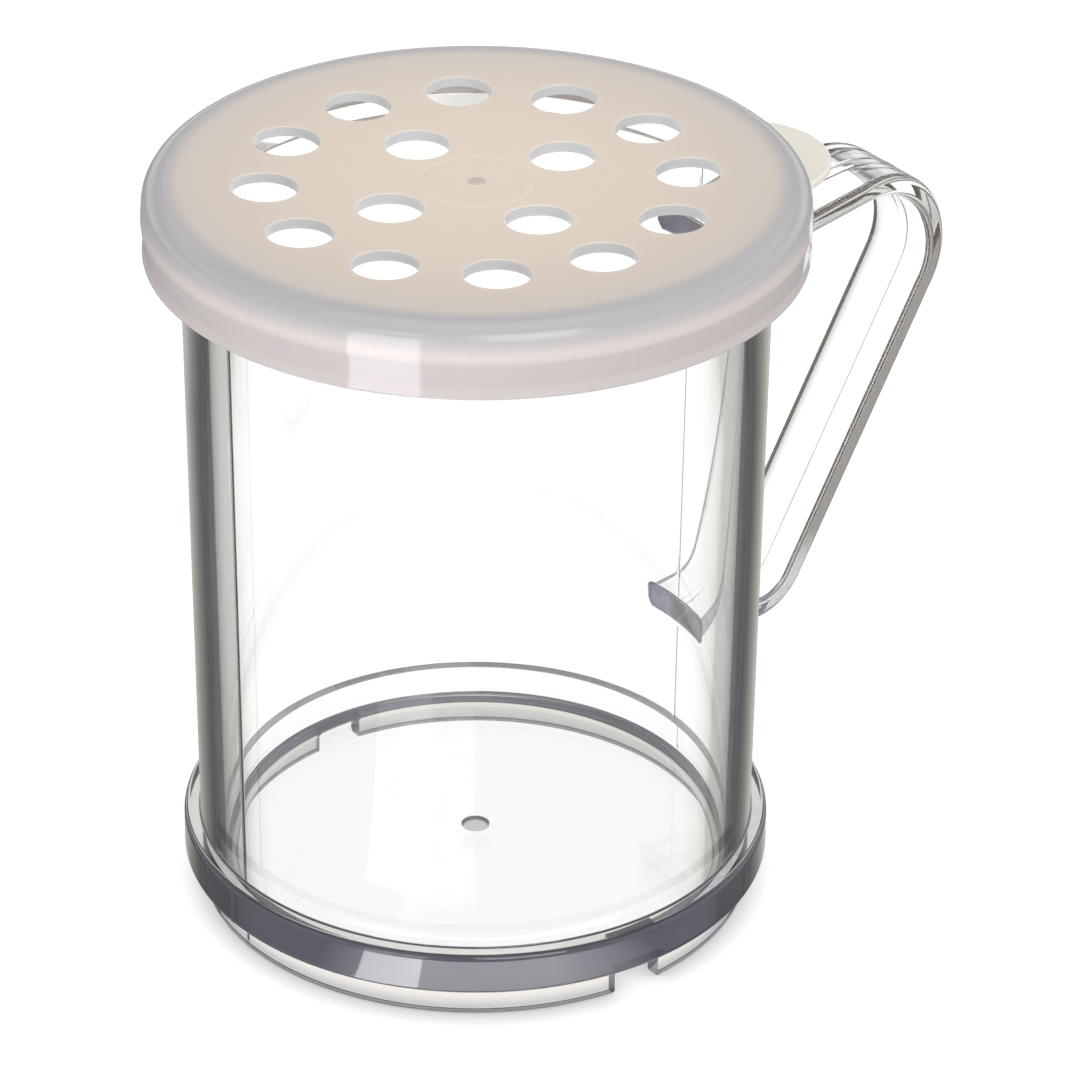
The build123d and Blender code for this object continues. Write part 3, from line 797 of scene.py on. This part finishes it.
# painted shade over the last of the wall before it turns out of sight, lighter towards the edge
EDGE_PAINTED_SHADE = [
    (0.740, (0.155, 0.150, 0.150)),
    (0.762, (0.205, 0.200, 0.195)),
    (0.784, (0.26, 0.25, 0.24)),
    (0.810, (0.34, 0.33, 0.30)),
    (0.838, (0.42, 0.40, 0.36)),
    (0.875, (0.56, 0.53, 0.49)),
    (0.930, (0.72, 0.69, 0.64)),
]


def clear_plastic():
    """Water-clear polycarbonate. It lets lamp light through. Its edges, and walls seen edge on, get painted
    shade:
    where the plastic mirrors light inside by total reflection, a matte grey stands for the dark surroundings
    it would show.

    It is clear in the middle of each surface, with painted shade that fades in over the wall as it turns
    from the eye, the foot ring, the flange's top, the floor's edge and the grip's margins, and its dimple
    is grey. The painted shade inside is as much as Fresnel's formula mirrors inside, times a share."""
    made = bpy.data.materials.new("clear plastic")
    paint = Paint(made)
    x, y, z, radius = paint.place()
    geometry = paint.node("NewGeometry")
    inside = geometry.other("Backfacing")
    _, across, up = paint.parts(geometry.other("Normal"))
    below_lid = paint.step(z, *BELOW_LID)
    on_cup = paint.step(radius, *WITHIN_LIP)
    on_wall = paint.step(up.size(), *UPRIGHT) * paint.step(radius, *OUTER_SKIN) * on_cup * below_lid
    # painted shade: noise wobbles the wall's dark bands, and near the lid they widen
    ripple_and_lid_shade = (paint.noise((260, 260, 22), 3) - 0.5) * RIPPLE + paint.step(z, *NEAR_LID) * RIPPLE
    facing = paint.node("LayerWeight", {}, {"Blend": 0.5}, "Facing") + ripple_and_lid_shade

    # painted shade in the colour of the light that passes each part: darker towards the wall's edges, on the
    # foot ring, the flange's top, the floor's edge and the grip's margins; the dimple is grey
    tint_and_shade = paint.mix_colours(on_wall, CLEAR, paint.tones(WALL_SHADE_TINTS, facing))
    # painted shade on the foot ring, grey below and cream above
    ring = paint.step(z, *IN_FOOT) * paint.step(radius, *RING_SKIN)
    tint_and_shade = paint.mix_colours(ring, tint_and_shade, paint.mix_colours(paint.step(z, *RING_RISE), RING_SHADE_GREY, RING_SHADE_CREAM))
    # painted shade, grey, on the ledge of the flange's top
    ledge = paint.step(z, *LEDGE_FROM) * paint.step(z, *LEDGE_TO) * paint.step(radius, *LEDGE_SKIN) * on_cup
    tint_and_shade = paint.mix_colours(ledge, tint_and_shade, LEDGE_SHADE_GREY)
    # painted shade, pale grey-green, round the floor's edge where it meets the wall
    floor = paint.step(radius, *FLOOR_EDGE) * paint.step(z, *FLOOR_FROM) * paint.step(z, *FLOOR_TO)
    tint_and_shade = paint.mix_colours(floor, tint_and_shade, FLOOR_EDGE_SHADE)
    dimple = paint.step(radius, *DIMPLE_EDGE) * paint.step(z, *DIMPLE_FROM)
    tint_and_shade = paint.mix_colours(dimple, tint_and_shade, DIMPLE_GREY)
    # painted shade along the grip's margins, seen from inside the plastic
    grip = paint.step(x, *GRIP_OUT) * paint.step(z, *GRIP_UP) * paint.step(z, *GRIP_END)
    margin = paint.step(y.size(), *GRIP_MARGIN) * grip * inside
    tint_and_shade = paint.mix_colours(margin, tint_and_shade, GRIP_EDGE_SHADE)
    glass = paint.node("BsdfPrincipled", {}, {
        "Base Color": tint_and_shade, "Roughness": dimple * DIMPLE_FROST + POLISHED,
        "IOR": REFRACTION, "Transmission Weight": 1.0,
    })

    def painted_matte(tone):
        """A matte grey that mirrors nothing, for painted shade."""
        look = {"Base Color": tone, "Roughness": 1.0, "Specular IOR Level": 0.0}
        return paint.node("BsdfPrincipled", {}, look)

    # painted shade where the plastic mirrors light inside: dark in the wall, lighter streaks in the flange,
    # brown at the sides of the handle's ribbon and lilac where its toe stands on the wall
    streaks = paint.step(z, *IN_FLANGE) * paint.step(paint.noise((14, 14, 150), 2), *STREAK)
    on_handle = paint.step(x, *HANDLE_OUT) * paint.step(z, *ABOVE_FLANGE)
    handle_shade = paint.mix_colours(paint.step(x, *BY_WALL), RIBBON_SHADE_BROWN, TOE_SHADE_LILAC)
    cup_shade = paint.mix_colours(streaks, WALL_SHADE_TONE, FLANGE_SHADE_TONE)
    painted_shade = painted_matte(paint.mix_colours(on_handle, cup_shade, handle_shade))
    trapped = paint.step(paint.node("Fresnel", {}, {"IOR": REFRACTION}) * inside, *TRAPPED)
    broad_side = 1 - paint.step(across.size(), *SIDEWAYS)
    painted_share = (1 - on_handle * broad_side * LESS_PAINTED_SHADE) * PAINTED_SHADE_SHARE * below_lid
    plastic = paint.node("MixShader", {}, {0: trapped * painted_share, 1: glass, 2: painted_shade})

    # seen from outside, the wall's last millimetre mirrors nothing and gets painted shade that grows lighter
    painted_edge = paint.step(facing, *TURNING) * on_wall * (1 - inside)
    plastic = paint.node("MixShader", {}, {0: painted_edge, 1: plastic, 2: painted_matte(paint.tones(EDGE_PAINTED_SHADE, facing))})
    pane = paint.node("BsdfTransparent", {}, {"Color": colour(248, 249, 247)})
    on_shadow = paint.node("LightPath", output="Is Shadow Ray")
    paint.surface(paint.node("MixShader", {}, {0: on_shadow, 1: plastic, 2: pane}))
    return made


# ---- natural plastic: its own warm tone from the middle of the disc outwards, as shares of the lid's radius, with painted light towards the middle and painted shade, grey, on the shoulder ----
LID_TONE_LIGHT_AND_SHADE = [
    (0.000, colour(234, 221, 207)),
    (0.450, colour(231, 218, 204)),
    (0.750, colour(223, 211, 200)),
    (0.885, colour(217, 208, 199)),
    (0.937, colour(186, 185, 188)),
    (1.000, colour(184, 183, 186)),
]
# painted highlight: a lighter band on the shoulder just above its crease
CREASE_HIGHLIGHT_FROM, CREASE_HIGHLIGHT = (TOTAL_HEIGHT - 1.5, TOTAL_HEIGHT - 3.5), colour(222, 214, 210)
SKIRT_FROM, SKIRT_TONE = (TOTAL_HEIGHT - 4.1, TOTAL_HEIGHT - 4.8), colour(208, 201, 199)
# painted light: the thin tab lighter, as if lit through
TAB_FROM, TAB_LIT_TONE = (LID_RADIUS + 0.2, LID_RADIUS + 0.6), colour(250, 241, 229)
NUB_EDGE, NUB_TONE = (NUB_RADIUS + 0.1, NUB_RADIUS), colour(205, 193, 184)
# painted shade on the walls of the holes
WITHIN_MARGIN, HOLE_WALL, HOLE_WALL_SHADE = (32.0, 31.5), (0.5, 0.3), colour(198, 198, 200)
DISC_FROM, POLISH, SATIN, CLOUD = (TOTAL_HEIGHT - 2.1, TOTAL_HEIGHT - 1.5), 0.03, 0.14, 0.06


def natural_plastic():
    """Uncoloured polyethylene, cloudy and warm. The disc is satin, its skirt more polished. Painted light
    makes the middle of the disc, a band above the crease and the thin tab lighter; painted shade makes the
    shoulder and the holes' walls cooler and greyer. The nub is darker."""
    made = bpy.data.materials.new("natural plastic")
    paint = Paint(made)
    _, _, z, radius = paint.place()
    up = paint.parts(paint.node("NewGeometry", output="Normal"))[2].size()
    # painted light towards the middle of the disc, painted shade on the shoulder
    tone = paint.tones(LID_TONE_LIGHT_AND_SHADE, radius * (1 / LID_RADIUS))
    tone = paint.mix_colours(paint.step(z, *CREASE_HIGHLIGHT_FROM), tone, CREASE_HIGHLIGHT)
    tone = paint.mix_colours(paint.step(z, *SKIRT_FROM), tone, SKIRT_TONE)
    tone = paint.mix_colours(paint.step(radius, *TAB_FROM), tone, TAB_LIT_TONE)
    tone = paint.mix_colours(paint.step(radius, *NUB_EDGE), tone, NUB_TONE)
    # painted shade in the holes
    hole = paint.step(up, *HOLE_WALL) * paint.step(radius, *WITHIN_MARGIN)
    tone = paint.mix_colours(hole, tone, HOLE_WALL_SHADE)
    roughness = paint.noise((60, 60, 60), 3) * CLOUD + POLISH + paint.step(z, *DISC_FROM) * SATIN
    shell = paint.node("BsdfPrincipled", {}, {
        "Base Color": tone, "Roughness": roughness,
        "Subsurface Weight": 0.4, "Subsurface Radius": (1.0, 0.9, 0.8), "Subsurface Scale": 0.002,
    })
    paint.surface(shell)
    return made


# ======== the two mouldings ========
def piece(mesh, material, slot, body, node):
    """A moulding that stands for a node of the solids and rides on a body."""
    made = bpy.data.objects.new(mesh.name, mesh)
    bpy.context.scene.collection.objects.link(made)
    mesh.materials.append(material)
    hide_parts(node)
    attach(made, body)
    return made


piece(cup_mesh(), clear_plastic(), "clear_polycarbonate", "cup", "cup_with_handle")
piece(lid_mesh(), natural_plastic(), "natural_polyethylene", "lid", "shaker_lid")


# ======== table, light and view ========
VIEW_AZIMUTH = -126           # the side that the camera stands on
WHITE = 1, 1, 1, 1
TABLE_SIZE = 6.0              # metres
TABLE_GLOW, TABLE_TONE = 0.68, (0.5, 0.5, 0.5, 1)   # its own light and its colour, as the camera sees it
CONTACT = 0.004               # metres over which the table darkens beside the foot, a painted contact shadow
BEHIND, BEHIND_SCATTERED = 1.12, 0.75   # its level behind the plastic, and where the plastic scatters it
MIRRORED_TABLE, MIRRORED_TONE = 0.30, (0.97, 0.95, 1)
# soft boxes that only rays thrown back by a surface meet. Each lies from and to so many degrees left of the
# view, and on the table from and to so many millimetres from the axis. The last goes on up the sky.
FLANGE_BOX, FLANGE_GLOW, WALL_BOX = (12.4, 26.5, 40, 50), (-20, 12, 40, 50), (14, 32, 60, 110)
LID_BOX, LID_BOX_TOP = (17, 39.4, 135, 4000), (0.66, 0.64)
LID_BOX_MIRRORED, LID_BOX_SCATTERED, LID_BOX_ON_SKY = 4.2, 3.3, 3.2
GREY_ROOM, PALE_ROOM = (0.13, 0.125, 0.15), (0.85, 0.84, 0.85)


def table():
    """A white sweep that the shaker stands on. The camera sees its own light, darkened beside the foot as a
    painted contact shadow, and what the lamp adds. Other rays meet an even white behind the plastic, or a dim
    table with soft boxes on it where a surface throws them back."""
    half = TABLE_SIZE / 2
    mesh = bpy.data.meshes.new("table")
    corners = [(-half, -half, 0), (half, -half, 0), (half, half, 0), (-half, half, 0)]
    mesh.from_pydata(corners, [], [(0, 1, 2, 3)])
    made = bpy.data.objects.new("table", mesh)
    bpy.context.scene.collection.objects.link(made)
    material = bpy.data.materials.new("white_table")
    paint = Paint(material)
    ray = paint.node("LightPath")
    contact_shade = paint.node("AmbientOcclusion", {"samples": 8}, {"Distance": CONTACT}, "AO")
    seen = paint.node("AddShader", {}, {
        0: paint.node("Emission", {}, {"Color": contact_shade * TABLE_GLOW}),
        1: paint.node("BsdfDiffuse", {}, {"Color": TABLE_TONE}),
    })
    scattered = ray.other("Is Diffuse Ray")
    behind = paint.node("Emission", {}, {"Color": BEHIND - scattered * (BEHIND - BEHIND_SCATTERED)})
    x, y, _, away = paint.place()

    def soft_box(box, level, fade=0.6):
        """The level inside a box's sector and ring, and 0 outside."""
        from_left, to_left, begin, end = box
        ring = paint.step(away, begin - 1, begin) * paint.step(away, end + 1, end)
        return paint.sector(x, y, from_left, to_left, fade) * ring * level

    glare = soft_box(FLANGE_BOX, level=6.2) + soft_box(FLANGE_GLOW, level=4.0, fade=25)
    lid_level = LID_BOX_MIRRORED - scattered * (LID_BOX_MIRRORED - LID_BOX_SCATTERED)
    glare = glare + soft_box(WALL_BOX, level=1.0) + soft_box(LID_BOX, lid_level)
    mirrored = paint.node("Emission", {}, {"Color": paint.brighter(MIRRORED_TONE, glare + MIRRORED_TABLE)})
    through = paint.node("MixShader", {}, {0: ray.other("Is Reflection Ray"), 1: behind, 2: mirrored})
    paint.surface(paint.node("MixShader", {}, {0: ray.other("Is Camera Ray"), 1: through, 2: seen}))
    mesh.materials.append(material)


def sky():
    """Soft even light. Where the plastic mirrors or bends the view it is a room instead, whose tones go by
    height, and rays thrown back by a surface also meet the soft box that goes on up from the table."""
    world = bpy.data.worlds.new("studio")
    bpy.context.scene.world = world
    paint = Paint(world)
    x, y, height = paint.parts(paint.node("TexCoord", output="Generated"))
    lid_box = paint.sector(x, y, *LID_BOX[:2]) * paint.step(height, *LID_BOX_TOP)
    room = paint.tones([
        (0.00, WHITE), (0.20, WHITE), (0.33, GREY_ROOM), (0.42, (0.15, 0.145, 0.17)), (0.50, PALE_ROOM),
        (0.56, PALE_ROOM), (0.64, GREY_ROOM), (0.86, GREY_ROOM), (0.95, WHITE),
    ], height)
    ray = paint.node("LightPath")
    glossy = ray.other("Is Glossy Ray")
    plain = paint.mix_colours(ray.other("Is Diffuse Ray"), WHITE, (0.75, 0.75, 0.75, 1))
    extra = lid_box * ray.other("Is Reflection Ray") * glossy * LID_BOX_ON_SKY
    around = paint.brighter(paint.mix_colours(glossy, plain, room), extra + 1)
    paint.surface(paint.node("Background", {}, {"Color": around}))


def lamp():
    """A soft box in front, a little to the right of the view."""
    aim = Vector((0, 0, 0.05))
    azimuth, rise, distance = math.radians(VIEW_AZIMUTH + 19), math.radians(33), 0.85
    level = distance * math.cos(rise)
    way = Vector((level * math.cos(azimuth), level * math.sin(azimuth), distance * math.sin(rise)))
    light = bpy.data.lights.new("soft box", "AREA")
    light.size, light.energy = 0.45, 2.6
    made = bpy.data.objects.new("soft box", light)
    bpy.context.scene.collection.objects.link(made)
    made.location = aim + way
    made.rotation_euler = (aim - made.location).to_track_quat("-Z", "Y").to_euler()
    made.visible_camera = False


def camera():
    """Looks down at the front left of the cup, with the whole shaker in view. The lens and the camera's
    place beside the middle of the lid's top are measured in a frame that is so many units wide. Its depth
    behind that point is in millimetres."""
    frame_width, focal, depth = 1080, 5544.9, 656.9
    lid_left_of_middle, lid_above_middle = 62.68, 363.85
    azimuth, elevation, roll = math.radians(VIEW_AZIMUTH + 90), math.radians(29.15), math.radians(0.53)
    right = Vector((math.cos(azimuth), math.sin(azimuth), 0))
    level = Vector((-math.sin(azimuth), math.cos(azimuth), 0))
    up = level * math.sin(elevation) + Vector((0, 0, math.cos(elevation)))
    back = right.cross(up)
    right, up = math.cos(roll) * right + math.sin(roll) * up, math.cos(roll) * up - math.sin(roll) * right
    place = Vector((0, 0, TOTAL_HEIGHT)) + depth * back
    place += depth / focal * (lid_left_of_middle * right - lid_above_middle * up)
    sensor = 36
    lens = bpy.data.cameras.new("view")
    lens.sensor_width = sensor
    lens.lens = focal / frame_width * sensor
    lens.clip_start, lens.clip_end = 0.01, 20
    made = bpy.data.objects.new("view", lens)
    bpy.context.scene.collection.objects.link(made)
    made.matrix_world = Matrix.Translation(place * MM) @ Matrix((right, up, back)).transposed().to_4x4()
    bpy.context.scene.camera = made


table()
sky()
lamp()
camera()
scene = bpy.context.scene
scene.view_settings.view_transform = "Standard"
scene.cycles.max_bounces = scene.cycles.transmission_bounces = scene.cycles.glossy_bounces = 32
